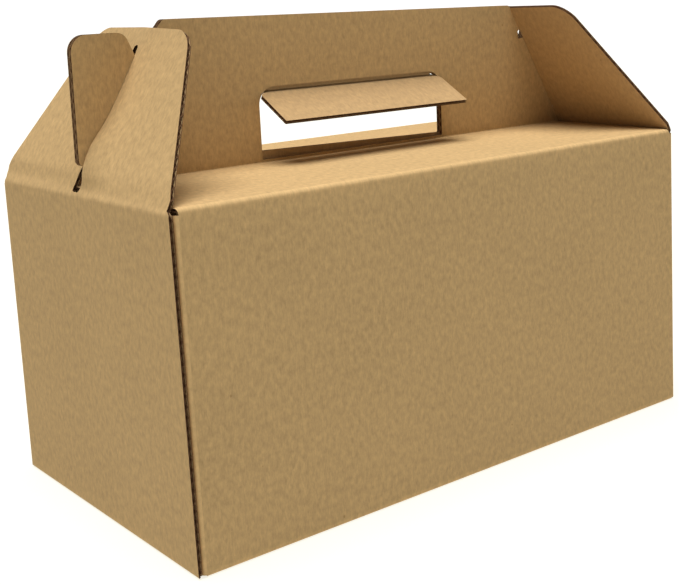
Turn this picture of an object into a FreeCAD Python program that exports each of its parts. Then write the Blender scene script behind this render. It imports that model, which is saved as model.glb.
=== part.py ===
"""A gable carry carton with a handle, folded from one sheet of thin corrugated board.

The four walls stand on a bottom of two layers. A front and a back panel close the top and
turn up in the middle as the two plies of the handle. Each end of the handle has an ear, which
passes through the slit of an end flap and holds the carton shut. A flap cut from the back ply
is pushed forward through the hand hole.

X runs along the carton, Y from front to back, Z up. The origin is the middle of the base.
"""
import FreeCAD, Part
import math
import os

from FreeCAD import Vector

# Board
board = 1.5
fold_radius = 1.5
fold_gap = 0.35

# Closed carton
length = 245.0
width = 134.0
wall_height = 121.5
half_length = length / 2
half_width = width / 2
wall_top = wall_height - board

# End flaps
flap_lean = 30.0
flap_length = 63.0
flap_side_inset = 0.8
flap_rise = 4.5
flap_taper = 0.54
flap_corner_radius = 13.0
slit_width = 3.9
slit_end = 58.2
hinge_x = half_length - board / 2
hinge_z = wall_height - board / 2
hinge_groove_bottom = hinge_z - board / 2 - fold_gap

# Top panels and handle plies
roof_half_length = 120.0
ply_gap = 0.2
handle_height = 56.0
handle_drop = 1.6
handle_corner_radius = 2.0
handle_end_gap = 0.4
handle_left_relief = 3.0

# Ears, with heights above the top panels
ear_reach = 121.0
ear_bottom = 7.5
ear_top = 52.2
ear_inner_x = 100.3
ear_root_height = 42.2
ear_bottom_radius = 2.0
ear_outer_radius = 6.0
ear_inner_radius = 4.5

# Hand hole, with heights above the top panels
hole_half_width = 47.0
front_hole_bottom = 1.1
front_hole_top = 29.0
front_hole_radius = 7.0
back_hole_bottom = 2.6
back_hole_radius = 7.0
hole_bottom_radius = 0.5

# Flap of the hand hole
hole_flap_hinge_height = 27.0
hole_flap_length = 21.6
hole_flap_side_gap = 0.45
hole_flap_radius = 9.5
hole_flap_swing = 65.0

# Glued corner at the front left
joint_gap_bottom = 0.3
joint_gap_top = 1.1
cut_edge_foot = 2.0
glue_tab_width = 29.0
glue_tab_taper = 8.0

# Bottom
seam_width = 0.6
seam_outer_y = 8.0
seam_tongue_y = -22.0
seam_tongue_foot = 50.0
seam_tongue_tip = 38.0
inner_panel_gap = 1.0
inner_panel_inset = 5.0
bottom_layers = 2 * board


def block(x_range, y_range, z_range):
    """A box between the two ends given for each axis."""
    size = [high - low for low, high in (x_range, y_range, z_range)]
    corner = Vector(x_range[0], y_range[0], z_range[0])
    return Part.makeBox(size[0], size[1], size[2], corner)


def rounded_corner(before, point, after, radius):
    """Start, middle and end of the arc that rounds a corner of an outline."""
    to_before = (before - point).normalize()
    to_after = (after - point).normalize()
    half_angle = to_before.getAngle(to_after) / 2
    reach = radius / math.tan(half_angle)
    inward = (to_before + to_after).normalize()
    centre = point + inward * (radius / math.sin(half_angle))
    return point + to_before * reach, centre - inward * radius, point + to_after * reach


def outline_face(corners, place):
    """A flat face whose corners are (first, second, radius); place turns the first two into 3D."""
    points = [place(corner[0], corner[1]) for corner in corners]
    edges = []
    ends = []
    for index, corner in enumerate(corners):
        point = points[index]
        radius = corner[2] if len(corner) > 2 else 0.0
        if radius > 0.0:
            after = points[(index + 1) % len(points)]
            start, middle, end = rounded_corner(points[index - 1], point, after, radius)
            arc = Part.Arc(start, middle, end).toShape()
            ends.append((start, arc, end))
        else:
            ends.append((point, None, point))
    for index, (start, arc, end) in enumerate(ends):
        if arc is not None:
            edges.append(arc)
        edges.append(Part.LineSegment(end, ends[(index + 1) % len(ends)][0]).toShape())
    return Part.Face(Part.Wire(edges))


def upright_plate(corners, y_low, y_high):
    """A plate parallel to the front wall, with its outline given as (x, z, radius)."""
    face = outline_face(corners, lambda x, z: Vector(x, y_low, z))
    return face.extrude(Vector(0, y_high - y_low, 0))


def level_plate(corners, z_low, z_high):
    """A plate parallel to the base, with its outline given as (x, y, radius)."""
    face = outline_face(corners, lambda x, y: Vector(x, y, z_low))
    return face.extrude(Vector(0, 0, z_high - z_low))


def mirrored(corners):
    """The corners of the right half of an outline, followed by those of the left half."""
    left = [(-corner[0],) + tuple(corner[1:]) for corner in reversed(corners)]
    return list(corners) + left


def rounded_envelope():
    """The closed carton as a solid block with every fold rounded."""
    whole = block((-half_length, half_length), (-half_width, half_width), (0, wall_height))
    return whole.makeFillet(fold_radius, whole.Edges)


def cut_edge():
    """The left wall's raw cut edge, which stands square beside the fold of the front wall."""
    inner_x = half_length - board
    inner_y = half_width - board
    return block((-half_length, -inner_x), (-half_width, -inner_y), (cut_edge_foot, wall_top))


def wall_ring():
    """Right, back and left walls. The left wall ends at the front in its raw cut edge."""
    inner_x = half_length - board
    inner_y = half_width - board
    return_x = inner_x - 3 * fold_radius
    corners = [
        (return_x, -half_width),
        (half_length, -half_width, fold_radius),
        (half_length, half_width, fold_radius),
        (-half_length, half_width, fold_radius),
        (-half_length, -inner_y),
        (-inner_x, -inner_y),
        (-inner_x, inner_y),
        (inner_x, inner_y),
        (inner_x, -inner_y),
        (return_x, -inner_y),
    ]
    return level_plate(corners, 0, wall_top)


def front_wall():
    """Front wall, whose folded left edge runs slightly askew beside the left wall."""
    inner_x = half_length - board
    right = half_length - 2 * fold_radius
    corners = [
        (joint_gap_bottom - inner_x, 0),
        (right, 0),
        (right, wall_top),
        (joint_gap_top - inner_x, wall_top),
    ]
    return upright_plate(corners, -half_width, board - half_width)


def glue_tab():
    """Tab of the front wall, glued to the inside of the left wall, with tapered ends."""
    inner_x = half_length - board
    root = board - half_width
    tip = root + glue_tab_width
    corners = [
        (root, board),
        (tip, board + glue_tab_taper),
        (tip, wall_top - glue_tab_taper),
        (root, wall_top),
    ]
    face = outline_face(corners, lambda y, z: Vector(-inner_x, y, z))
    return face.extrude(Vector(board, 0, 0))


def bottom_seam():
    """The cut line between the two outer bottom panels, with its locking tongue."""
    half_seam = seam_width / 2
    beyond = half_length + board
    path = [(seam_tongue_tip, seam_tongue_y), (seam_tongue_foot, seam_outer_y), (beyond, seam_outer_y)]
    lower = [(x, y - half_seam) for x, y in path]
    upper = [(x, y + half_seam) for x, y in path]
    left_lower = [(-x, y) for x, y in lower]
    left_upper = [(-x, y) for x, y in upper]
    corners = left_lower[::-1] + lower + upper[::-1] + left_upper
    return level_plate(corners, -board, board)


def bottom():
    """Two outer panels that lock along the seam, and two inner panels over them."""
    outer = block((-half_length, half_length), (-half_width, half_width), (0, board))
    inner_y = half_width - board
    inner_x = half_length - board
    panel = [
        (inner_panel_gap / 2, inner_panel_inset - inner_y),
        (inner_x, -inner_y),
        (inner_x, inner_y),
        (inner_panel_gap / 2, inner_y - inner_panel_inset),
    ]
    right = level_plate(panel, board, bottom_layers)
    left = right.mirror(Vector(0, 0, 0), Vector(1, 0, 0))
    return outer.cut(bottom_seam()).fuse([right, left])


def make_carton_body():
    """Walls, glue tab and bottom."""
    body = wall_ring().fuse([front_wall(), glue_tab(), bottom()])
    inner_x = half_length - board
    joint = [
        (-half_length - 1, -1),
        (joint_gap_bottom - inner_x, -1),
        (joint_gap_bottom - inner_x, 0),
        (joint_gap_top - inner_x, wall_top),
        (-half_length - 1, wall_top),
    ]
    body = body.cut(upright_plate(joint, -half_width - 1, board - half_width))
    groove_z = (hinge_groove_bottom, wall_height)
    all_y = (-half_width - 1, half_width + 1)
    for side in (-1, 1):
        ends = sorted((side * roof_half_length, side * (half_length + 1)))
        body = body.cut(block(ends, all_y, groove_z))
    body = body.common(rounded_envelope())
    return body.fuse(cut_edge().cut(block((-half_length - 1, -roof_half_length), all_y, groove_z))).removeSplitter()


def handle_end_x(height):
    """X of the handle's slanting end at a height above the top panels."""
    lean = math.radians(flap_lean)
    offset = board / 2 + handle_end_gap
    along = (wall_height + height - hinge_z + offset * math.sin(lean)) / math.cos(lean)
    return hinge_x - offset * math.cos(lean) - along * math.sin(lean)


def handle_end(side, relief):
    """One end of the handle ply with its ear, from the fold up; side is 1 for right, the lower end."""
    top = handle_height if side < 0 else handle_height - handle_drop
    corners = [
        (handle_end_x(-board / 2), -board / 2),
        (handle_end_x(ear_bottom), ear_bottom),
        (ear_reach, ear_bottom, ear_bottom_radius),
        (ear_reach, ear_top, ear_outer_radius),
        (ear_inner_x, ear_top, ear_inner_radius),
        (handle_end_x(ear_root_height), ear_root_height),
        (handle_end_x(top) - relief, top, handle_corner_radius),
    ]
    return [(side * item[0], wall_height + item[1]) + tuple(item[2:]) for item in corners]


def handle_outline():
    """The handle ply with its two ears, as (x, z, radius) corners."""
    return handle_end(1, 0.0) + handle_end(-1, handle_left_relief)[::-1]


def hand_hole(bottom_height, top_height, top_radius, y_low, y_high):
    """The tool that cuts a hand hole through one ply."""
    right = [
        (hole_half_width, wall_height + bottom_height, hole_bottom_radius),
        (hole_half_width, wall_height + top_height, top_radius),
    ]
    return upright_plate(mirrored(right), y_low, y_high)


def make_front_gable():
    """Front top panel and the front ply of the handle."""
    ends = (-roof_half_length, roof_half_length)
    roof = block(ends, (-half_width, -ply_gap / 2), (wall_top, wall_height))
    roof = roof.common(rounded_envelope())
    ply_back = -ply_gap / 2
    ply = upright_plate(handle_outline(), ply_back - board, ply_back)
    hole = hand_hole(front_hole_bottom, front_hole_top, front_hole_radius, -2 * board, 0)
    return roof.fuse(ply).cut(hole).removeSplitter()


def make_back_gable():
    """Back top panel and the back ply of the handle, with the fold of the hole's flap."""
    ends = (-roof_half_length, roof_half_length)
    roof = block(ends, (ply_gap / 2, half_width), (wall_top, wall_height))
    roof = roof.common(rounded_envelope())
    ply_front = ply_gap / 2
    ply = upright_plate(handle_outline(), ply_front, ply_front + board)
    top = hole_flap_hinge_height + board / 2 + fold_gap
    hole = hand_hole(back_hole_bottom, top, back_hole_radius, 0, 2 * board)
    return roof.fuse(ply).cut(hole).removeSplitter()


def end_flap_upright():
    """An end flap standing upright, with the axis of its fold along Y through the origin."""
    foot = half_width - flap_side_inset
    tip = foot - flap_taper * (flap_length - flap_rise)
    corners = [
        (-foot, 0),
        (foot, 0),
        (foot, flap_rise),
        (tip, flap_length, flap_corner_radius),
        (-tip, flap_length, flap_corner_radius),
        (-foot, flap_rise),
    ]
    face = outline_face(corners, lambda y, z: Vector(-board / 2, y, z))
    panel = face.extrude(Vector(board, 0, 0))
    fold = Part.makeCylinder(board / 2, 2 * foot, Vector(0, -foot, 0), Vector(0, 1, 0))
    slit = [
        (-slit_width / 2, -board),
        (slit_width / 2, -board),
        (slit_width / 2, slit_end, slit_width / 2 - 0.01),
        (-slit_width / 2, slit_end, slit_width / 2 - 0.01),
    ]
    slit_face = outline_face(slit, lambda y, z: Vector(-board, y, z))
    cutter = slit_face.extrude(Vector(2 * board, 0, 0))
    return panel.fuse(fold).cut(cutter).removeSplitter()


def make_end_flap(side):
    """End flap in its closed place, leaning in over the top panels; side is 1 for right."""
    flap = end_flap_upright()
    flap.rotate(Vector(0, 0, 0), Vector(0, 1, 0), -side * flap_lean)
    flap.translate(Vector(side * hinge_x, 0, hinge_z))
    return flap


def make_hand_hole_flap():
    """Flap of the hand hole, pushed forward and down through the front ply."""
    half = hole_half_width - hole_flap_side_gap
    hinge = Vector(0, (ply_gap + board) / 2, wall_height + hole_flap_hinge_height)
    low = hinge.z - hole_flap_length
    corners = [
        (-half, low),
        (half, low),
        (half, hinge.z, hole_flap_radius),
        (-half, hinge.z, hole_flap_radius),
    ]
    panel = upright_plate(corners, ply_gap / 2, ply_gap / 2 + board)
    fold_half = half - hole_flap_radius
    start = hinge - Vector(fold_half, 0, 0)
    fold = Part.makeCylinder(board / 2, 2 * fold_half, start, Vector(1, 0, 0))
    flap = panel.fuse(fold).removeSplitter()
    flap.rotate(hinge, Vector(1, 0, 0), -hole_flap_swing)
    return flap


def main():
    """Build every node and write its STEP file."""
    os.makedirs("parts", exist_ok=True)
    nodes = {
        "carton_body": make_carton_body(),
        "front_gable": make_front_gable(),
        "back_gable": make_back_gable(),
        "left_end_flap": make_end_flap(-1),
        "right_end_flap": make_end_flap(1),
        "hand_hole_flap": make_hand_hole_flap(),
    }
    for name, shape in nodes.items():
        solids = len(shape.Solids)
        print(name, "solids", solids, "valid", shape.isValid(), "cm3", round(shape.Volume / 1000, 2))
        shape.exportStep("parts/" + name + ".step")


main()
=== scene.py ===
"""A gable carry carton of brown corrugated board, dressed for its picture.

Every panel is built as the real board is: an outer liner, a wavy core and an inner liner, cut
flat to the panel's outline and then bent along its folds. Flat places are (across, along,
height), in millimetres: along follows the sheet from its foot to its tip, and height is
measured outwards from the middle of the board.
"""
import logging
import math
from dataclasses import dataclass, field
from enum import Enum
from typing import Callable, Iterable, Sequence

import bmesh
import bpy
from mathutils import Matrix, Vector

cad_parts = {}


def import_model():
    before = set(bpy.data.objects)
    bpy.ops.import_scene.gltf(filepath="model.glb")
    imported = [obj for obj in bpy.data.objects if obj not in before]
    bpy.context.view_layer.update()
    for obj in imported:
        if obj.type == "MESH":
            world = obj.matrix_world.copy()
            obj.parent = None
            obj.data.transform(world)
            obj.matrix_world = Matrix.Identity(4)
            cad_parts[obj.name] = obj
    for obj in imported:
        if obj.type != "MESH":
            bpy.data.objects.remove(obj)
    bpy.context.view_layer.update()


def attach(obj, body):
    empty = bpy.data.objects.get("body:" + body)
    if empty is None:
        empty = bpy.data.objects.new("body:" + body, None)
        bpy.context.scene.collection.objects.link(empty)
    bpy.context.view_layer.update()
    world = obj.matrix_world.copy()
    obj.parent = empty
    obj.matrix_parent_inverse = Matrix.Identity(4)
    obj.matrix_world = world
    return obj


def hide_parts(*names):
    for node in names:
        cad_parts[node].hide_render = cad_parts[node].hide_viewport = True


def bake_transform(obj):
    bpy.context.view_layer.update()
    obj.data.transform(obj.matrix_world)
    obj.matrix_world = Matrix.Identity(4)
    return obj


log = logging.getLogger("carton")

MM = 0.001
Point = tuple[float, float, float]
Corner = tuple[float, ...]

# The carton, in millimetres, as in the part's source
BOARD = 1.5
HALF_LENGTH = 122.5
HALF_WIDTH = 67.0
TOP = 121.5
MIDDLE_X = HALF_LENGTH - BOARD / 2
MIDDLE_Y = HALF_WIDTH - BOARD / 2
MIDDLE_TOP = TOP - BOARD / 2
PLY_Y = 0.85
LEAN = 30.0
FLUTE = 3.5
HANDLE_GAP = 0.4

# Where the straight run of a wall ends beside a rounded corner, and the radius of the board's middle there
WALL_END_X = HALF_LENGTH - BOARD
WALL_END_Y = HALF_WIDTH - BOARD
CORNER_RADIUS = 0.75

# The front wall's fold beside the glued corner: its place at the foot, and its slant over the height
JOINT_X = -119.2
JOINT_SLANT = 0.2 / 120.0

# How far the right wall, and the front and back walls, lean in at the top of the closed carton
LEAN_IN_X = 0.8
LEAN_IN_Y = 1.6

# A sunk upper fold: where along the sheet it begins to sink, and over what run
SINK_START = 30.0
SINK_RUN = 70.0

# A crushed fold: how far beside it the board is thin, and the share of that on its outer side
PINCH_REACH = 1.6
PINCH_OUTSIDE = 0.15

# A crease paled by wear and by a painted highlight: the least turn that pales the paper, and how far beside
# the fold
CREASE_WEAR_AND_HIGHLIGHT_TURN = 60.0
CREASE_WEAR_AND_HIGHLIGHT_REACH = 0.35


def smooth(share: float) -> float:
    """A soft step: 0 below 0, 1 above 1, and a smooth rise between them."""
    held = min(1.0, max(0.0, share))
    return held * held * (3.0 - 2.0 * held)


def lean_in(place: Vector) -> Vector:
    """The place once the walls lean in a little towards the handle, in millimetres."""
    share = min(1.0, max(0.0, place.z / TOP))
    return Vector((place.x - LEAN_IN_X * max(0.0, place.x) / HALF_LENGTH * share,
                   place.y * (1.0 - LEAN_IN_Y / HALF_WIDTH * share), place.z))


class Face(Enum):
    """The finishes of a board, in the order of its material slots."""

    OUTER = 0
    INNER = 1
    CUT = 2
    CORE = 3


@dataclass(frozen=True)
class Bend:
    """A fold: where its arc begins, the radius of the board's middle, and its turn in degrees.

    A positive turn folds the sheet away from its outer side.
    """

    start: float
    radius: float
    turn: float

    @property
    def length(self) -> float:
        """Length of the arc along the middle of the board."""
        return self.radius * math.radians(abs(self.turn))

    @property
    def end(self) -> float:
        """Where the arc ends."""
        return self.start + self.length

    @property
    def middle(self) -> float:
        """The middle of the arc."""
        return (self.start + self.end) / 2

    @property
    def reach(self) -> float:
        """Distance from the end of a straight run to the corner that the arc rounds."""
        return self.radius * math.tan(math.radians(abs(self.turn)) / 2)

    def rows(self) -> list[float]:
        """Places of the rows of points that the arc needs, with one guard row on each side."""
        steps = max(4, round(abs(self.turn) / 9))
        inside = [self.start + self.length * step / steps for step in range(steps + 1)]
        return [self.start - 0.5, *inside, self.end + 0.5]


@dataclass(frozen=True)
class Track:
    """The line that a sheet follows: where and how it starts, and its bends in order.

    The crush is the share of its thickness that the board loses in a fold. The sink is how much
    lower the upper fold lies at the two ends of the sheet.
    """

    origin: Point
    across: Point
    heading: Point
    first: float
    bends: tuple[Bend, ...] = ()
    crush: float = 0.22
    sink: tuple[float, float] = (0.0, 0.0)

    def place(self, flat: Vector) -> Vector:
        """Where a flat place comes to lie once the sheet is folded.

        Args:
            flat: (across, along, height) in millimetres.

        Returns:
            The place in the carton, in metres.
        """
        across = Vector(self.across)
        heading = Vector(self.heading)
        outward = across.cross(heading)
        at = Vector(self.origin)
        run = self.first
        sunk = self._sunk(flat)
        along = flat.y + sunk
        height = flat.z * self._pinch(flat)
        for bend in self.bends:
            if along <= bend.start:
                break
            at = at + heading * (bend.start - run)
            sense = math.copysign(1.0, bend.turn)
            centre = at - outward * bend.radius * sense
            share = min(1.0, (along - bend.start) / bend.length)
            angle = math.radians(bend.turn) * share
            turned = outward * math.cos(angle) + heading * math.sin(angle)
            heading = heading * math.cos(angle) - outward * math.sin(angle)
            outward = turned
            at = centre + outward * bend.radius * sense
            run = min(bend.end, along)
        place = at + heading * (along - run) + outward * height + across * flat.x
        place.z -= sunk
        return lean_in(place) * MM

    def _sunk(self, flat: Vector) -> float:
        """How much lower the upper fold lies here, from one end of the sheet to the other."""
        if self.sink == (0.0, 0.0):
            return 0.0
        share = min(1.0, max(0.0, 0.5 + flat.x / (2 * HALF_WIDTH)))
        start = min(1.0, max(0.0, (flat.y - SINK_START) / SINK_RUN))
        return (self.sink[0] + (self.sink[1] - self.sink[0]) * share) * start

    def wear_and_highlight(self, flat: Vector) -> float:
        """How much the crease of a fold pales the paper here, from 0 to 1: its wear together with a painted
        highlight.
        """
        along = flat.y + self._sunk(flat)
        near = [abs(along - bend.middle) / (bend.length / 2 + CREASE_WEAR_AND_HIGHLIGHT_REACH)
                for bend in self.bends if bend.turn > CREASE_WEAR_AND_HIGHLIGHT_TURN]
        return math.exp(-min(near, default=9.0) ** 2)

    def _pinch(self, flat: Vector) -> float:
        """How much of the board's thickness is left beside a fold, on its hollow side."""
        left = 1.0
        for bend in self.bends:
            hollow = flat.z * bend.turn < 0.0
            near = math.exp(-(((flat.y - bend.middle) / PINCH_REACH) ** 2))
            left -= self.crush * near * (1.0 if hollow else PINCH_OUTSIDE)
        return left


@dataclass
class Blank:
    """One flat outline of board, with its holes. A corner is (across, along, radius)."""

    outline: Sequence[Corner]
    holes: Sequence[Sequence[Corner]] = ()

    def filled(self) -> bmesh.types.BMesh:
        """The outline as a flat mesh with its corners rounded and its holes open."""
        mesh = bmesh.new()
        for corners in (self.outline, *self.holes):
            self._ring(mesh, corners)
        bmesh.ops.delete(mesh, geom=mesh.faces[:], context="FACES_ONLY")
        bmesh.ops.triangle_fill(mesh, use_beauty=True, use_dissolve=False, edges=mesh.edges[:])
        flipped = [face for face in mesh.faces if face.normal.z < 0.0]
        bmesh.ops.reverse_faces(mesh, faces=flipped)
        return mesh

    @staticmethod
    def _ring(mesh: bmesh.types.BMesh, corners: Sequence[Corner]) -> None:
        """Adds one closed outline and rounds the corners that have a radius.

        Args:
            mesh: The flat mesh that gets the outline.
            corners: The corners in order.
        """
        points = [mesh.verts.new((corner[0], corner[1], 0.0)) for corner in corners]
        mesh.faces.new(points)
        rounded = []
        for index, corner in enumerate(corners):
            if len(corner) < 3 or corner[2] <= 0.0:
                continue
            before = points[index - 1].co - points[index].co
            after = points[(index + 1) % len(points)].co - points[index].co
            reach = corner[2] / math.tan(before.angle(after) / 2)
            rounded.append((points[index], reach, max(3, round(corner[2] * 1.2) + 2)))
        for point, reach, segments in rounded:
            bmesh.ops.bevel(mesh, geom=[point], offset=reach, offset_type="OFFSET", segments=segments,
                            profile=0.5, affect="VERTICES", material=-1)


def cut_rows(mesh: bmesh.types.BMesh, places: Iterable[float], axis: int) -> None:
    """Divides a flat mesh along straight lines.

    Args:
        mesh: The flat mesh.
        places: Where the lines cross the axis.
        axis: 0 for lines of equal across, 1 for lines of equal along.
    """
    normal = Vector((1.0, 0.0, 0.0)) if axis == 0 else Vector((0.0, 1.0, 0.0))
    ahead = set(mesh.faces)
    for place in sorted(set(places)):
        ahead = {face for face in ahead if max(vert.co[axis] for vert in face.verts) > place + 1e-4}
        near = [face for face in ahead if min(vert.co[axis] for vert in face.verts) < place - 1e-4]
        if not near:
            continue
        near.sort(key=lambda face: face.index)
        edges = {edge for face in near for edge in face.edges}
        verts = {vert for face in near for vert in face.verts}
        made = bmesh.ops.bisect_plane(mesh, geom=[*verts, *edges, *near], dist=1e-5,
                                      plane_co=normal * place, plane_no=normal)
        ahead.update(item for item in made["geom"] if isinstance(item, bmesh.types.BMFace))


@dataclass
class Board:
    """Fine corrugated board and the way it is laid up, in millimetres."""

    thickness: float = BOARD
    liner: float = 0.24
    core: float = 0.2
    pitch: float = FLUTE
    steps: int = 10
    row_gap: float = 10.0
    core_column_gap: float = 30.0
    finishes: dict[Face, bpy.types.Material] = field(default_factory=dict)

    def sheet(self, name: str, blank: Blank, track: Track, grain: "Grain", waves: bool = True,
              extra_rows: Sequence[float] = (), columns: Sequence[float] = (),
              bow: Callable[[Vector, Vector], Vector] | None = None) -> bpy.types.Object:
        """Cuts, layers and folds one piece of board.

        Args:
            name: Name of the piece.
            blank: Its flat outline.
            track: The line that it is folded along.
            grain: How the pattern of the paper runs on it.
            waves: True for a wavy core, False for one that a fold has crushed flat.
            extra_rows: More places along the sheet that need a row of points.
            columns: Places across the sheet that need a column of points in every layer.
            bow: A small move, in metres, of each point, from its flat place and its folded place.

        Returns:
            The finished object.
        """
        face = self.thickness / 2
        rows = [row for bend in track.bends for row in bend.rows()] + list(extra_rows)
        whole = bmesh.new()
        finish = whole.loops.layers.uv.new("sheet")
        layers = (
            (face - self.liner, face, False, Face.OUTER, Face.INNER),
            (-face, self.liner - face, False, Face.OUTER, Face.INNER),
            (-self.core / 2, self.core / 2, waves, Face.CORE, Face.CORE),
        )
        for low, high, wavy, above, below in layers:
            self._layer(whole, blank, rows, columns, (low, high), wavy, (above, below))
        for item in whole.faces:
            for loop in item.loops:
                loop[finish].uv = grain.map(loop.vert.co)
        # Creases paled by wear and by a painted highlight, kept on each point
        crease_wear_and_highlight = whole.verts.layers.float.new("crease")
        for vert in whole.verts:
            flat = vert.co.copy()
            vert[crease_wear_and_highlight] = track.wear_and_highlight(flat)
            vert.co = track.place(flat)
            if bow is not None:
                vert.co += bow(flat, vert.co / MM)
        data = bpy.data.meshes.new(name)
        whole.to_mesh(data)
        whole.free()
        for kind in Face:
            data.materials.append(self.finishes[kind])
        data.shade_smooth()
        data.set_sharp_from_angle(angle=math.radians(35))
        made = bpy.data.objects.new(name, data)
        bpy.context.scene.collection.objects.link(made)
        log.info("%s: %d faces", name, len(data.polygons))
        return made

    def _layer(self, whole: bmesh.types.BMesh, blank: Blank, rows: list[float], columns: Sequence[float],
               heights: tuple[float, float], wavy: bool, finishes: tuple[Face, Face]) -> None:
        """Adds one layer of the board to a mesh.

        Args:
            whole: The mesh that gets the layer.
            blank: The flat outline.
            rows: Places along the sheet that need a row of points.
            columns: Places across the sheet that need a column of points.
            heights: The lower and upper side of the layer.
            wavy: True if the layer runs up and down between the liners.
            finishes: Finish of the upper side and of the lower side.
        """
        mesh = blank.filled()
        low_row = min(vert.co.y for vert in mesh.verts)
        high_row = max(vert.co.y for vert in mesh.verts)
        if wavy:
            step = self.pitch / self.steps
            count = range(math.ceil(low_row / step), math.floor(high_row / step) + 1)
            cut_rows(mesh, [index * step for index in count], 1)
            spacing = self.core_column_gap
        else:
            cut_rows(mesh, rows, 1)
            cut_rows(mesh, [low_row + self.row_gap * index for index in range(1, 40)], 1)
            spacing = self.row_gap
        cut_rows(mesh, [*columns, *(spacing * index for index in range(-13, 14))], 0)
        sides = mesh.faces[:]
        grown = bmesh.ops.extrude_face_region(mesh, geom=sides, use_keep_orig=True)["geom"]
        raised = [item for item in grown if isinstance(item, bmesh.types.BMVert)]
        tops = {item for item in grown if isinstance(item, bmesh.types.BMFace)}
        bmesh.ops.translate(mesh, verts=raised, vec=(0.0, 0.0, heights[1] - heights[0]))
        bmesh.ops.reverse_faces(mesh, faces=sides)
        lower = set(sides)
        for item in mesh.faces:
            kind = finishes[0] if item in tops else finishes[1] if item in lower else Face.CUT
            item.material_index = kind.value
        swing = self.thickness / 2 - self.liner - self.core * 0.75
        for vert in mesh.verts:
            lift = swing * math.sin(2 * math.pi * vert.co.y / self.pitch) if wavy else 0.0
            vert.co.z += heights[0] + lift
        part = bpy.data.meshes.new("layer")
        mesh.to_mesh(part)
        mesh.free()
        whole.from_mesh(part)
        bpy.data.meshes.remove(part)


@dataclass(frozen=True)
class Grain:
    """How the pattern of the paper runs: where a sheet starts round the carton, and its turn."""

    offset: float = 0.0
    turned: bool = False

    def map(self, flat: Vector) -> tuple[float, float]:
        """The place of a flat point in the pattern, in metres."""
        if self.turned:
            return ((self.offset + flat.y) * MM, -flat.x * MM)
        return ((self.offset + flat.x) * MM, flat.y * MM)


class Nodes:
    """A short way to place shader nodes and join them."""

    def __init__(self, tree: bpy.types.NodeTree) -> None:
        """Starts with an empty tree."""
        self.tree = tree
        tree.nodes.clear()

    def add(self, kind: str, **settings: object) -> bpy.types.Node:
        """Places a node and sets its properties."""
        node = self.tree.nodes.new(kind)
        for name, value in settings.items():
            setattr(node, name, value)
        return node

    def join(self, source: bpy.types.NodeSocket, target: bpy.types.NodeSocket) -> None:
        """Joins two sockets."""
        self.tree.links.new(source, target)

    def math(self, operation: str, *values: object) -> bpy.types.NodeSocket:
        """A Math node. Each value is a number or a socket; the result is its output."""
        node = self.add("ShaderNodeMath", operation=operation)
        for index, value in enumerate(values):
            if isinstance(value, bpy.types.NodeSocket):
                self.join(value, node.inputs[index])
            else:
                node.inputs[index].default_value = value
        return node.outputs[0]

    def noise(self, vector: bpy.types.NodeSocket, scale: float, detail: float,
              roughness: float = 0.5) -> bpy.types.NodeSocket:
        """A noise pattern, as a factor from 0 to 1."""
        node = self.add("ShaderNodeTexNoise")
        node.inputs["Scale"].default_value = scale
        node.inputs["Detail"].default_value = detail
        node.inputs["Roughness"].default_value = roughness
        self.join(vector, node.inputs["Vector"])
        return node.outputs["Fac"]

    def stretched(self, vector: bpy.types.NodeSocket, scale: Point, shift: Point) -> bpy.types.NodeSocket:
        """The vector scaled and shifted."""
        node = self.add("ShaderNodeMapping")
        node.inputs["Scale"].default_value = scale
        node.inputs["Location"].default_value = shift
        self.join(vector, node.inputs["Vector"])
        return node.outputs["Vector"]

    def band(self, value: bpy.types.NodeSocket, low: float, high: float,
             to_low: float = 0.0, to_high: float = 1.0) -> bpy.types.NodeSocket:
        """A value brought from one range to another, held inside it."""
        node = self.add("ShaderNodeMapRange", interpolation_type="SMOOTHSTEP")
        for socket, number in zip(node.inputs[1:5], (low, high, to_low, to_high)):
            socket.default_value = number
        self.join(value, node.inputs[0])
        return node.outputs[0]


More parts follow.
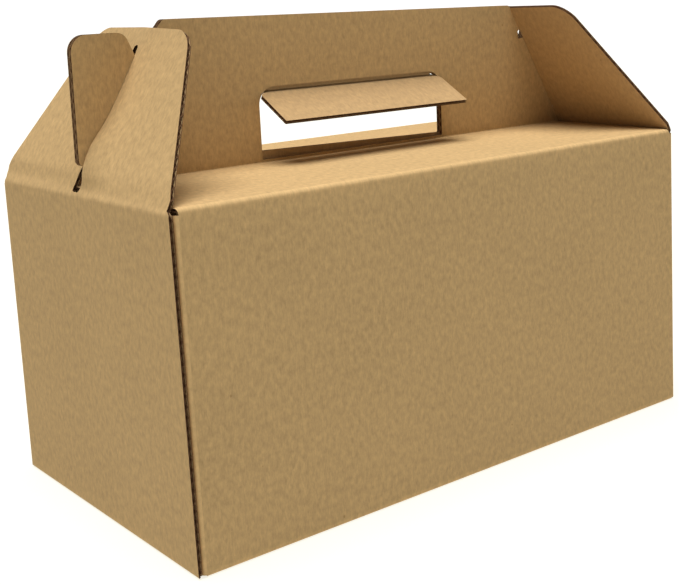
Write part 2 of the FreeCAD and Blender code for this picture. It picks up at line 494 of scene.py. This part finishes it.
class PaperGroup:
    """The shared pattern of kraft paper: clouds, mottling, fibres, specks, faint painted shade along the
    flutes, creases paled by wear and a painted highlight, and a soft relief.
    """

    @staticmethod
    def build() -> bpy.types.NodeTree:
        """Builds the node group once."""
        tree = bpy.data.node_groups.new("kraft paper", "ShaderNodeTree")
        for name, kind in (("Vector", "NodeSocketVector"), ("Color", "NodeSocketColor"),
                           ("Speck Color", "NodeSocketColor"), ("Mottling", "NodeSocketFloat"),
                           ("Clouds", "NodeSocketFloat"), ("Specks", "NodeSocketFloat"),
                           ("Crease", "NodeSocketFloat")):
            tree.interface.new_socket(name, in_out="INPUT", socket_type=kind)
        for name, kind in (("Color", "NodeSocketColor"), ("Height", "NodeSocketFloat"),
                           ("Roughness", "NodeSocketFloat")):
            tree.interface.new_socket(name, in_out="OUTPUT", socket_type=kind)
        nodes = Nodes(tree)
        given = nodes.add("NodeGroupInput").outputs
        result = nodes.add("NodeGroupOutput").inputs
        place = given["Vector"]
        clouds = nodes.noise(place, 22.0, 2.0)
        blotches = nodes.noise(nodes.stretched(place, (1.0, 0.62, 1.0), (3.0, 1.0, 0.0)), 520.0, 3.0, 0.62)
        fibres = nodes.noise(nodes.stretched(place, (1.0, 0.22, 1.0), (7.0, 2.0, 0.0)), 1900.0, 2.0, 0.6)
        grain = nodes.noise(place, 3600.0, 1.0)
        split = nodes.add("ShaderNodeSeparateXYZ")
        nodes.join(place, split.inputs[0])
        waves = nodes.math("SINE", nodes.math("MULTIPLY", split.outputs[1], 2 * math.pi / (FLUTE * MM)))
        mottled = nodes.math("MULTIPLY_ADD", nodes.math("SUBTRACT", blotches, 0.5), 0.55,
                             nodes.math("MULTIPLY", nodes.math("SUBTRACT", fibres, 0.5), 0.35))
        value = nodes.math("MULTIPLY", mottled, given["Mottling"])
        value = nodes.math("MULTIPLY_ADD", nodes.math("SUBTRACT", clouds, 0.5), given["Clouds"], value)
        # Faint stripes along the flutes: painted shade of the liner's washboard relief
        value = nodes.math("MULTIPLY_ADD", waves, 0.003, value)
        # Paler creases: wear together with a painted highlight along the fold
        value = nodes.math("MULTIPLY_ADD", given["Crease"], 0.2, value)
        bright = nodes.math("ADD", value, 1.0)
        tint = nodes.add("ShaderNodeVectorMath", operation="SCALE")
        nodes.join(given["Color"], tint.inputs[0])
        nodes.join(bright, tint.inputs["Scale"])
        dark = PaperGroup._specks(nodes, place, 95.0, (0.0, 0.0, 0.0), 0.05)
        pale = PaperGroup._specks(nodes, place, 120.0, (5.0, 9.0, 0.0), 0.04)
        mix = nodes.add("ShaderNodeMix", data_type="RGBA")
        nodes.join(nodes.math("MULTIPLY", dark, given["Specks"]), mix.inputs["Factor"])
        nodes.join(tint.outputs[0], mix.inputs[6])
        nodes.join(given["Speck Color"], mix.inputs[7])
        lift = nodes.add("ShaderNodeVectorMath", operation="SCALE")
        nodes.join(mix.outputs[2], lift.inputs[0])
        nodes.join(nodes.math("MULTIPLY_ADD", nodes.math("MULTIPLY", pale, given["Specks"]), 0.22, 1.0),
                   lift.inputs["Scale"])
        nodes.join(lift.outputs[0], result["Color"])
        relief = nodes.math("MULTIPLY_ADD", fibres, 0.5, nodes.math("MULTIPLY", grain, 0.3))
        nodes.join(nodes.math("MULTIPLY_ADD", blotches, 0.35, relief), result["Height"])
        nodes.join(nodes.band(blotches, 0.3, 0.7, 0.82, 0.92), result["Roughness"])
        return tree

    @staticmethod
    def _specks(nodes: Nodes, place: bpy.types.NodeSocket, scale: float, shift: Point,
                share: float) -> bpy.types.NodeSocket:
        """Sparse soft dots of uneven size, as a mask."""
        cells = nodes.add("ShaderNodeTexVoronoi")
        cells.inputs["Scale"].default_value = scale
        nodes.join(nodes.stretched(place, (1.0, 0.8, 1.0), shift), cells.inputs["Vector"])
        chance = nodes.add("ShaderNodeSeparateColor")
        nodes.join(cells.outputs["Color"], chance.inputs[0])
        size = nodes.math("MULTIPLY", nodes.math("POWER", chance.outputs[0], 3.0), share)
        edge = nodes.math("DIVIDE", cells.outputs["Distance"], nodes.math("ADD", size, 0.002))
        return nodes.band(edge, 1.15, 0.45)


@dataclass(frozen=True)
class Paper:
    """A liner's finish: its colour, and how strong its pattern and relief are."""

    name: str
    color: Point
    speck: Point
    mottling: float
    clouds: float
    specks: float
    relief: float

    def material(self, group: bpy.types.NodeTree) -> bpy.types.Material:
        """Builds the material.

        Args:
            group: The shared pattern of kraft paper.

        Returns:
            The material.
        """
        made = bpy.data.materials.new(self.name)
        made.use_nodes = True
        nodes = Nodes(made.node_tree)
        out = nodes.add("ShaderNodeOutputMaterial")
        shader = nodes.add("ShaderNodeBsdfPrincipled")
        shader.inputs["Specular IOR Level"].default_value = 0.18
        nodes.join(shader.outputs[0], out.inputs[0])
        sheet = nodes.add("ShaderNodeUVMap", uv_map="sheet")
        pattern = nodes.add("ShaderNodeGroup", node_tree=group)
        nodes.join(sheet.outputs[0], pattern.inputs["Vector"])
        pattern.inputs["Color"].default_value = (*self.color, 1.0)
        pattern.inputs["Speck Color"].default_value = (*self.speck, 1.0)
        pattern.inputs["Mottling"].default_value = self.mottling
        pattern.inputs["Clouds"].default_value = self.clouds
        pattern.inputs["Specks"].default_value = self.specks
        # The crease paling: wear together with a painted highlight
        crease_wear_and_highlight = nodes.add("ShaderNodeAttribute", attribute_name="crease")
        nodes.join(crease_wear_and_highlight.outputs["Fac"], pattern.inputs["Crease"])
        nodes.join(pattern.outputs["Color"], shader.inputs["Base Color"])
        nodes.join(pattern.outputs["Roughness"], shader.inputs["Roughness"])
        bump = nodes.add("ShaderNodeBump")
        bump.inputs["Strength"].default_value = self.relief
        bump.inputs["Distance"].default_value = 0.00006
        nodes.join(pattern.outputs["Height"], bump.inputs["Height"])
        nodes.join(bump.outputs[0], shader.inputs["Normal"])
        return made


OUTER_PAPER = Paper("kraft outer liner", (0.540, 0.359, 0.164), (0.300, 0.170, 0.060), 1.15, 0.12, 0.60, 0.35)
INNER_PAPER = Paper("kraft inner liner", (0.490, 0.318, 0.150), (0.270, 0.150, 0.065), 1.00, 0.10, 0.60, 0.45)
# Cut edges and core much darker than the liners: partly the rougher paper itself, partly painted shade of the
# hollow flutes
SHADED_CUT_PAPER = Paper("cut edge", (0.100, 0.046, 0.020), (0.050, 0.024, 0.010), 0.90, 0.20, 0.30, 0.60)
SHADED_CORE_PAPER = Paper("fluted core", (0.150, 0.075, 0.034), (0.070, 0.035, 0.015), 0.60, 0.15, 0.30, 0.50)


def handle_end(height: float) -> float:
    """Half the length of the handle at a height above the top panels, as in the part's source."""
    lean = math.radians(LEAN)
    offset = BOARD / 2 + HANDLE_GAP
    along = (TOP + height - MIDDLE_TOP + offset * math.sin(lean)) / math.cos(lean)
    return MIDDLE_X - offset * math.cos(lean) - along * math.sin(lean)


def joint_edge(height: float) -> float:
    """X of the front wall's fold beside the glued corner, which runs slightly askew."""
    return JOINT_X + JOINT_SLANT * height


@dataclass
class GableSheet:
    """Bottom panel, wall, top panel and handle ply, all in one strip with three folds.

    Heights are above the top panels. A value in pairs is for the left and the right end.
    """

    name: str
    side: int
    foot_radius: float = CORNER_RADIUS
    crease_radius: float = 0.85
    ridge_radius: float = 1.2
    handle_foot: float = 0.6
    handle_heights: tuple[float, float] = (56.0, 54.4)
    handle_radius: float = 2.0
    relief: float = 3.0
    ear_reach: float = 121.0
    ear_bottom: float = 7.5
    ear_top: float = 52.2
    ear_inner: float = 100.3
    ear_radii: tuple[float, float, float] = (2.0, 6.0, 4.5)
    ear_roots: tuple[float, float] = (42.2, 39.9)
    ear_slant: float = 2.0 / 25.0
    nick_depths: tuple[float, float] = (2.2, 3.2)
    nick_below: float = 0.6
    nick_above: float = 3.4
    nick_radius: float = 0.7
    hole_half: float = 46.2
    hole_foot_radius: float = 0.5
    wall_foot: float = 1.0
    wall_top: float = 119.4
    roof_foot: float = 120.1
    roof_half: float = 120.0
    panel_half: float = 118.8
    panel_end: float = 0.2

    def __post_init__(self) -> None:
        """Works out where the folds lie along the strip."""
        arc = self.foot_radius * math.pi / 2
        self.foot = Bend(BOARD / 2 + self.foot_radius - arc, self.foot_radius, 90.0)
        self.crease = Bend(MIDDLE_TOP - self.crease_radius, self.crease_radius, 90.0)
        roof = (MIDDLE_Y - self.crease_radius) - (PLY_Y + self.ridge_radius)
        self.ridge = Bend(self.crease.end + roof, self.ridge_radius, -90.0)
        self.ply_shift = self.ridge.end - (MIDDLE_TOP + self.ridge_radius)

    def panel(self, y: float) -> float:
        """Place along the strip of a point of the bottom panel that lies y in from the middle."""
        return self.foot.start - (MIDDLE_Y - self.foot_radius + y)

    def ply(self, height: float) -> float:
        """Place along the strip of a height above the top panels, on the handle."""
        return TOP + height + self.ply_shift

    def bow(self, _flat: Vector, place: Vector) -> Vector:
        """The left ear leans forward outside its flap."""
        lean = math.radians(LEAN)
        outside = (place.z - MIDDLE_TOP) * math.sin(lean) - (place.x + MIDDLE_X) * math.cos(lean)
        ear = max(0.0, outside - 1.0) if place.z > TOP + 5.0 else 0.0
        return Vector((0.0, -self.ear_slant * ear, 0.0)) * MM

    def ply_outline(self) -> list[Corner]:
        """The handle with its two ears, from the foot at one end round to the foot at the other."""
        corners: list[Corner] = []
        for sense in (1, -1):
            right = int(sense * self.side < 0)
            relief = 0.0 if right else self.relief
            top = self.handle_heights[right]
            root = self.ear_roots[right]
            above = root + self.nick_above
            nick = handle_end(root) - self.nick_depths[right]
            end = [
                (handle_end(self.handle_foot), self.ply(self.handle_foot)),
                (handle_end(self.ear_bottom), self.ply(self.ear_bottom)),
                (self.ear_reach, self.ply(self.ear_bottom), self.ear_radii[0]),
                (self.ear_reach, self.ply(self.ear_top), self.ear_radii[1]),
                (self.ear_inner, self.ply(self.ear_top), self.ear_radii[2]),
                (handle_end(root), self.ply(root)),
                (nick, self.ply(root - self.nick_below), self.nick_radius),
                (nick, self.ply(above), self.nick_radius),
                (handle_end(above), self.ply(above)),
                (handle_end(top) - relief, self.ply(top), self.handle_radius),
            ]
            turned = [(sense * item[0],) + item[1:] for item in end]
            corners += turned if sense > 0 else turned[::-1]
        return corners

    def track(self, foot_y: float) -> Track:
        """The line of the strip, which starts at the free edge of the bottom panel."""
        y = self.side * foot_y
        return Track((0.0, y, BOARD / 2), (float(-self.side), 0.0, 0.0), (0.0, float(self.side), 0.0),
                     self.panel(-foot_y), (self.foot, self.crease, self.ridge))

    def hole(self, bottom: tuple[float, float], top: float, radius: float) -> list[Corner]:
        """The hand hole.

        Args:
            bottom: Height of its lower edge at the left and right end, seen from outside.
            top: Height of its upper edge.
            radius: Radius of its upper corners.

        Returns:
            Its corners.
        """
        return [
            (-self.hole_half, self.ply(bottom[0]), self.hole_foot_radius),
            (self.hole_half, self.ply(bottom[1]), self.hole_foot_radius),
            (self.hole_half, self.ply(top), radius),
            (-self.hole_half, self.ply(top), radius),
        ]

    def right_wall_end(self) -> list[Corner]:
        """The end of the wall and the top panel that has no glued corner, for flat.x above 0."""
        return [
            (self.panel_half, self.panel_end), (WALL_END_X, self.wall_foot), (WALL_END_X, self.wall_top),
            (self.roof_half, self.roof_foot), (self.roof_half, self.ridge.start + self.panel_end),
        ]


@dataclass
class FrontSheet(GableSheet):
    """The front strip. Its left end is cut askew beside the glued corner."""

    free_edge: float = -7.7
    wing_half: float = 50.0
    slot_end: float = 22.3
    slot_half: float = 38.0
    hole_bottom: float = 1.1
    hole_top: float = 28.8
    hole_radius: float = 7.0

    def build(self, board: Board) -> bpy.types.Object:
        """Cuts and folds the strip."""
        wing = self.panel(self.free_edge)
        slot = self.panel(self.slot_end)
        outline = [
            (-self.panel_half, wing), (-self.wing_half, wing), (-self.slot_half, slot),
            (self.slot_half, slot), (self.wing_half, wing), (self.panel_half, wing),
            *self.right_wall_end(), *self.ply_outline(),
            (-self.roof_half, self.ridge.start + self.panel_end), (-self.roof_half, 124.5), (-119.7, 121.6),
            (JOINT_X, 120.2), (joint_edge(118.6), self.wall_top),
            (joint_edge(self.wall_foot), self.wall_foot), (-self.panel_half, self.panel_end),
        ]
        hole = self.hole((self.hole_bottom, self.hole_bottom), self.hole_top, self.hole_radius)
        track = self.track(-self.free_edge)
        made = board.sheet(self.name, Blank(outline, [hole]), track, Grain(), bow=self.bow)
        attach(made, "carton")
        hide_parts("front_gable", "carton_body")
        return made


@dataclass
class BackSheet(GableSheet):
    """The back strip, whose bottom panel has the locking tongue."""

    sag: float = 2.3
    sag_start: float = 6.0
    sag_run: float = 54.0
    wing_edge: float = -8.3
    wing_half: float = 50.3
    tongue_edge: float = 21.7
    tongue_half: float = 38.3
    tongue_radius: float = 3.0
    hole_bottoms: tuple[float, float] = (2.2, 4.4)
    hole_top: float = 27.9
    hole_radius: float = 4.5

    def build(self, board: Board) -> bpy.types.Object:
        """Cuts and folds the strip."""
        wing = self.panel(self.wing_edge)
        tongue = self.panel(self.tongue_edge)
        right = self.right_wall_end()
        outline = [
            (-self.panel_half, wing), (-self.wing_half, wing),
            (-self.tongue_half, tongue, self.tongue_radius), (self.tongue_half, tongue, self.tongue_radius),
            (self.wing_half, wing), (self.panel_half, wing),
            *right, *self.ply_outline(), *((-corner[0], corner[1]) for corner in reversed(right)),
        ]
        hole = self.hole(self.hole_bottoms, self.hole_top, self.hole_radius)
        track = self.track(-self.tongue_edge)
        made = board.sheet(self.name, Blank(outline, [hole]), track, Grain(600.0), bow=self.bow)
        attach(made, "carton")
        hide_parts("back_gable")
        return made

    def bow(self, flat: Vector, place: Vector) -> Vector:
        """The back top panel slopes down a little to its fold, and the wall below it is that much lower."""
        share = smooth((place.y - self.sag_start) / self.sag_run) * min(1.0, max(0.0, place.z / TOP))
        return super().bow(flat, place) - Vector((0.0, 0.0, self.sag * share)) * MM


@dataclass
class EndSheet:
    """An end wall and the flap above it, in two pieces that meet flush below the flap's fold.

    Lengths of the flap and its slit are above the fold, and the trim is taken off its front side.
    """

    word: str
    side: int
    split: float = 117.0
    foot_radius: float = CORNER_RADIUS
    foot_inset: float = 2.4
    foot_low: float = 0.2
    foot_high: float = 1.0
    fold_radius: float = 2.5
    flap_length: float = 63.0
    foot: float = 66.2
    taper: float = 0.54
    tip_radius: float = 13.0
    trim: float = 0.0
    rise: float = 3.6
    slit_foot: float = 0.2
    slit_sides: tuple[float, float] = (-1.8, 1.8)
    slit_half: float = 1.85
    slit_end: float = 55.6
    slit_foot_length: float = 11.0
    slit_foot_radius: float = 1.2
    slit_tip_length: float = 5.0
    slit_tip_share: float = 0.65
    slit_tip_radius: float = 1.0
    cut_edge: float = 66.9
    lip: float = 2.0
    sink: tuple[float, float] = (0.0, 0.0)
    hang: tuple[float, float] = (2.4, 2.0)
    steepness: float = 0.5
    steep_run: float = 8.0
    bulge: float = 2.8
    bulge_middle: float = 14.0
    bulge_length: float = 12.0
    bulge_width: float = 11.0
    blend_reach: float = 2.6

    def __post_init__(self) -> None:
        """Works out where the folds lie along the strip."""
        arc = self.foot_radius * math.pi / 2
        self.low = Bend(BOARD / 2 + self.foot_radius - arc, self.foot_radius, 90.0)
        turn = Bend(0.0, self.fold_radius, LEAN)
        self.high = Bend(MIDDLE_TOP - turn.reach, self.fold_radius, LEAN)
        self.hinge = self.high.end - self.high.reach

    def track(self) -> Track:
        """The line of the strip, which starts at the lip below the wall."""
        start = MIDDLE_X - self.low.radius - self.lip
        return Track((self.side * start, 0.0, BOARD / 2), (0.0, float(self.side), 0.0),
                     (float(self.side), 0.0, 0.0), self.low.start - self.lip, (self.low, self.high),
                     sink=self.sink)

    def grain(self) -> Grain:
        """The pattern's place round the carton."""
        return Grain(190.0 if self.side > 0 else 1000.0)

    def sides(self) -> tuple[float, float]:
        """Where the wall ends across the strip: at a rounded corner, or at the left wall's cut edge."""
        return (-WALL_END_Y, WALL_END_Y if self.side > 0 else self.cut_edge)

    def wall(self, board: Board) -> bpy.types.Object:
        """Cuts and folds the wall."""
        near, far = self.sides()
        near_foot = near + self.foot_inset
        far_foot = far - self.foot_inset
        low = self.low.start - self.lip
        outline = [
            (near_foot, low), (far_foot, low), (far_foot, self.foot_low), (far, self.foot_high),
            (far, self.split), (near, self.split), (near, self.foot_high), (near_foot, self.foot_low),
        ]
        made = board.sheet(self.word + "_wall", Blank(outline), self.track(), self.grain())
        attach(made, "carton")
        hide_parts("carton_body")
        return made

    def slit(self) -> list[Corner]:
        """The slit for the ear: wide at its foot and narrow at its tip."""
        foot = self.hinge + self.slit_foot
        end = self.hinge + self.slit_end
        half = self.slit_half
        tip = half * self.slit_tip_share
        narrow = foot + self.slit_foot_length
        shoulder = end - self.slit_tip_length
        return [
            (self.slit_sides[0], foot, self.slit_foot_radius),
            (self.slit_sides[1], foot, self.slit_foot_radius),
            (half, narrow), (half, shoulder), (tip, end, self.slit_tip_radius),
            (-tip, end, self.slit_tip_radius), (-half, shoulder), (-half, narrow),
        ]

    def flap(self, board: Board) -> bpy.types.Object:
        """Cuts and folds the flap, with the strip of wall below its fold."""
        near, far = self.sides()
        tip = self.foot - self.taper * (self.flap_length - self.rise)
        top = self.hinge + self.flap_length
        front_foot = self.foot - self.trim
        outline = [
            (near, self.split), (far, self.split), (far, self.hinge - 1.2), (front_foot, self.hinge - 0.1),
            (front_foot, self.hinge + self.rise), (tip, top, self.tip_radius), (-tip, top, self.tip_radius),
            (-self.foot, self.hinge + self.rise), (-self.foot, self.hinge - 0.1), (near, self.hinge - 1.2),
        ]
        rows = [self.hinge + 0.4 * step for step in range(-15, 10)]
        rows += [self.hinge + 2.0 * step for step in range(2, 24)]
        bulging = self.side < 0
        columns = [0.0, 1.0, 2.0, *(3.0 + 2.0 * step for step in range(12))] if bulging else []
        body = self.word + "_flap"
        made = board.sheet(body, Blank(outline, [self.slit()]), self.track(), self.grain(),
                           extra_rows=rows, columns=columns, bow=self.bow if bulging else None)
        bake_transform(made)
        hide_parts(self.word + "_end_flap")
        return made

    def bow(self, flat: Vector, _place: Vector) -> Vector:
        """The left flap rises steeply, its front corner hangs low, and its lip beside the ear bulges."""
        along = flat.y - self.hinge
        up = max(0.0, along / self.flap_length)
        front = max(0.0, flat.x / self.foot)
        corner = Vector((-self.hang[0], 0.0, -self.hang[1])) * up * up * front
        sunk = (self.sink[0] + self.sink[1]) / 2 + (self.sink[1] - self.sink[0]) * flat.x / (2 * HALF_WIDTH)
        steep = Vector((-self.steepness * sunk * smooth(along / self.steep_run), 0.0, 0.0))
        beside = smooth(flat.x / 3.0) * math.exp(-(max(0.0, flat.x - 2.0) / self.bulge_width) ** 2)
        height = smooth(along / 6.0) * math.exp(-((along - self.bulge_middle) / self.bulge_length) ** 2)
        lean = math.radians(LEAN)
        outward = Vector((-math.cos(lean), 0.0, math.sin(lean)))
        return (corner + steep + outward * self.bulge * beside * height) * MM


@dataclass
class CornerFold:
    """A vertical fold between two walls."""

    name: str
    start: tuple[float, float]
    heading: tuple[float, float]
    offset: float
    low: float = 0.9
    high: float = 119.7
    radius: float = CORNER_RADIUS

    def build(self, board: Board) -> bpy.types.Object:
        """Cuts and folds the corner."""
        bend = Bend(0.0, self.radius, 90.0)
        outline = [(-self.high, 0.0), (-self.low, 0.0), (-self.low, bend.length), (-self.high, bend.length)]
        track = Track((*self.start, 0.0), (0.0, 0.0, -1.0), (*self.heading, 0.0), 0.0, (bend,), 0.0)
        made = board.sheet(self.name, Blank(outline), track, Grain(self.offset, True), waves=False)
        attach(made, "carton")
        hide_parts("carton_body")
        return made


@dataclass
class GlueTab:
    """The fold at the left end of the front wall and the tab that is glued inside the left wall."""

    width: float = 29.0
    taper: float = 8.0
    radius: float = CORNER_RADIUS
    low: float = 0.9
    high: float = 119.4
    shoulder: float = 0.8
    wall_x: float = -119.5
    wall_reach: float = 24.0

    def build(self, board: Board) -> bpy.types.Object:
        """Cuts and folds the tab."""
        bend = Bend(0.0, self.radius, 90.0)
        tip = bend.end + self.width
        shoulder = bend.end + self.shoulder
        outline = [
            (self.low, 0.0), (self.low, bend.end), (self.low + 1.5, shoulder), (self.low + self.taper, tip),
            (self.high - 0.4 - self.taper, tip), (self.high - 1.4, shoulder), (self.high, bend.end),
            (self.high, 0.0),
        ]
        start = (joint_edge(0.0), -MIDDLE_Y, 0.0)
        track = Track(start, (0.0, 0.0, 1.0), (-1.0, 0.0, 0.0), 0.0, (bend,), 0.0)
        made = board.sheet("glue_tab", Blank(outline), track, Grain(-122.0, True), waves=False,
                           extra_rows=[bend.end + 2.0], bow=self.bow)
        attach(made, "carton")
        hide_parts("carton_body")
        return made

    def bow(self, flat: Vector, _place: Vector) -> Vector:
        """Follows the askew fold, and closes on the left wall further in."""
        askew = joint_edge(flat.x) - joint_edge(0.0)
        back = min(1.0, max(0.0, flat.y - 3.0) / self.wall_reach)
        gap = joint_edge(flat.x) - self.wall_x
        return Vector((askew - gap * back, 0.0, 0.0)) * MM


@dataclass
class HoleFlap:
    """The flap of the hand hole, cut from the back ply and pushed forward through the hole."""

    hinge_height: float = 27.0
    neck: float = 0.9
    length: float = 22.2
    half: float = 45.75
    corner: float = 3.8
    swing: float = 61.5
    radius: float = 1.0
    tip_radius: float = 0.3
    corner_radius: float = 1.5
    blend_reach: float = 1.6

    def build(self, board: Board) -> bpy.types.Object:
        """Cuts and folds the flap."""
        turn = Bend(0.0, self.radius, self.swing)
        bend = Bend(self.neck - turn.reach, self.radius, self.swing)
        hinge = bend.end - bend.reach
        tip = hinge + self.length
        neck_half = self.half - self.corner
        top = TOP + self.hinge_height + self.neck
        outline = [
            (-self.half, tip, self.tip_radius), (self.half, tip, self.tip_radius),
            (self.half, hinge + self.corner, self.corner_radius), (neck_half, hinge), (neck_half, 0.0),
            (-neck_half, 0.0), (-neck_half, hinge), (-self.half, hinge + self.corner, self.corner_radius),
        ]
        track = Track((0.0, PLY_Y, top), (1.0, 0.0, 0.0), (0.0, 0.0, -1.0), 0.0, (bend,))
        rows = [hinge + 0.3 * step for step in range(-3, 9)]
        made = board.sheet("hole_flap", Blank(outline[::-1]), track, Grain(1500.0), extra_rows=rows)
        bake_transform(made)
        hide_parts("hand_hole_flap")
        return made


@dataclass
class Studio:
    """Camera, lights and floor."""

    spot: Point = (-0.29405, -0.38580, 0.18386)
    azimuth: float = 39.018
    elevation: float = -11.348
    roll: float = -2.292
    focal: float = 1192.9
    centre: tuple[float, float] = (394.3, 231.3)
    frame: tuple[int, int] = (680, 585)

    def camera(self) -> bpy.types.Object:
        """The camera at the picture's viewing angle."""
        azimuth = math.radians(self.azimuth)
        elevation = math.radians(self.elevation)
        roll = math.radians(self.roll)
        forward = Vector((math.sin(azimuth) * math.cos(elevation), math.cos(azimuth) * math.cos(elevation),
                          math.sin(elevation)))
        right = Vector((math.cos(azimuth), -math.sin(azimuth), 0.0))
        up = right.cross(forward)
        across = right * math.cos(roll) + up * math.sin(roll)
        upward = up * math.cos(roll) - right * math.sin(roll)
        data = bpy.data.cameras.new("camera")
        data.sensor_width = 36.0
        data.lens = data.sensor_width * self.focal / self.frame[0]
        data.shift_x = (self.frame[0] / 2 - self.centre[0]) / self.frame[0]
        data.shift_y = (self.centre[1] - self.frame[1] / 2) / self.frame[0]
        data.clip_start = 0.01
        made = bpy.data.objects.new("camera", data)
        turned = Matrix((across, upward, -forward)).transposed().to_4x4()
        made.matrix_world = Matrix.Translation(self.spot) @ turned
        bpy.context.scene.collection.objects.link(made)
        bpy.context.scene.camera = made
        return made

    def lamp(self, name: str, toward: Point, spread: float, strength: float, color: Point) -> None:
        """A broad soft light from one side, the same all over the floor.

        Args:
            name: Name of the light.
            toward: The direction in which it shines.
            spread: How wide it looks from the carton, in degrees.
            strength: Its strength in watts per square metre.
            color: Its colour.
        """
        data = bpy.data.lights.new(name, "SUN")
        data.angle = math.radians(spread)
        data.energy = strength
        data.color = color
        made = bpy.data.objects.new(name, data)
        made.matrix_world = Vector(toward).to_track_quat("-Z", "Y").to_matrix().to_4x4()
        bpy.context.scene.collection.objects.link(made)

    def floor(self) -> None:
        """A plain pale floor that glows softly, a little more to the camera than on the carton."""
        mesh = bmesh.new()
        bmesh.ops.create_grid(mesh, x_segments=1, y_segments=1, size=6.0)
        data = bpy.data.meshes.new("floor")
        mesh.to_mesh(data)
        mesh.free()
        made = bpy.data.objects.new("floor", data)
        bpy.context.scene.collection.objects.link(made)
        paint = bpy.data.materials.new("pale floor")
        paint.use_nodes = True
        nodes = Nodes(paint.node_tree)
        shader = nodes.add("ShaderNodeBsdfPrincipled")
        shader.inputs["Base Color"].default_value = (0.24, 0.24, 0.235, 1.0)
        shader.inputs["Roughness"].default_value = 0.9
        shader.inputs["Specular IOR Level"].default_value = 0.0
        shader.inputs["Emission Color"].default_value = (0.84, 0.82, 0.73, 1.0)
        seen = nodes.add("ShaderNodeLightPath").outputs["Is Camera Ray"]
        nodes.join(nodes.math("MULTIPLY_ADD", seen, 0.2, 0.8), shader.inputs["Emission Strength"])
        nodes.join(shader.outputs[0], nodes.add("ShaderNodeOutputMaterial").inputs[0])
        data.materials.append(paint)

    def build(self) -> None:
        """Sets up the whole studio."""
        self.camera()
        self.floor()
        self.backdrop()
        bpy.context.scene.view_settings.view_transform = "Standard"
        self.lamp("top light", (0.08, 0.02, -1.0), 44.0, 4.15, (1.0, 1.0, 1.0))

    def backdrop(self) -> None:
        """A white backdrop that lights the carton only faintly."""
        world = bpy.data.worlds.new("studio")
        world.use_nodes = True
        nodes = Nodes(world.node_tree)
        glow = nodes.add("ShaderNodeBackground")
        glow.inputs["Color"].default_value = (1.0, 0.99, 0.97, 1.0)
        seen = nodes.add("ShaderNodeLightPath").outputs["Is Camera Ray"]
        nodes.join(nodes.math("MULTIPLY_ADD", seen, 1.0, 0.12), glow.inputs["Strength"])
        nodes.join(glow.outputs[0], nodes.add("ShaderNodeOutputWorld").inputs[0])
        bpy.context.scene.world = world


def main() -> None:
    """Builds the carton in order, then the studio."""
    logging.basicConfig(level=logging.INFO, format="%(name)s: %(message)s")
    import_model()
    group = PaperGroup.build()
    finishes = {
        Face.OUTER: OUTER_PAPER.material(group),
        Face.INNER: INNER_PAPER.material(group),
        Face.CUT: SHADED_CUT_PAPER.material(group),
        Face.CORE: SHADED_CORE_PAPER.material(group),
    }
    board = Board(finishes=finishes)
    FrontSheet("front_sheet", -1).build(board)
    BackSheet("back_sheet", 1).build(board)
    left = EndSheet("left", -1, flap_length=62.6, trim=1.5, slit_foot=-0.9, slit_sides=(-5.0, 0.5),
                    sink=(2.9, 1.2))
    right = EndSheet("right", 1, slit_foot=8.6, sink=(0.0, 2.3))
    for end in (left, right):
        end.wall(board)
        end.flap(board)
    CornerFold("fold_front_right", (WALL_END_X, -MIDDLE_Y), (1.0, 0.0), WALL_END_X).build(board)
    CornerFold("fold_back_right", (MIDDLE_X, WALL_END_Y), (0.0, 1.0), 256.0, high=117.4).build(board)
    CornerFold("fold_back_left", (-WALL_END_X, MIDDLE_Y), (-1.0, 0.0), 720.0, high=117.0).build(board)
    GlueTab().build(board)
    HoleFlap().build(board)
    Studio().build()


if __name__ == "__main__":
    main()
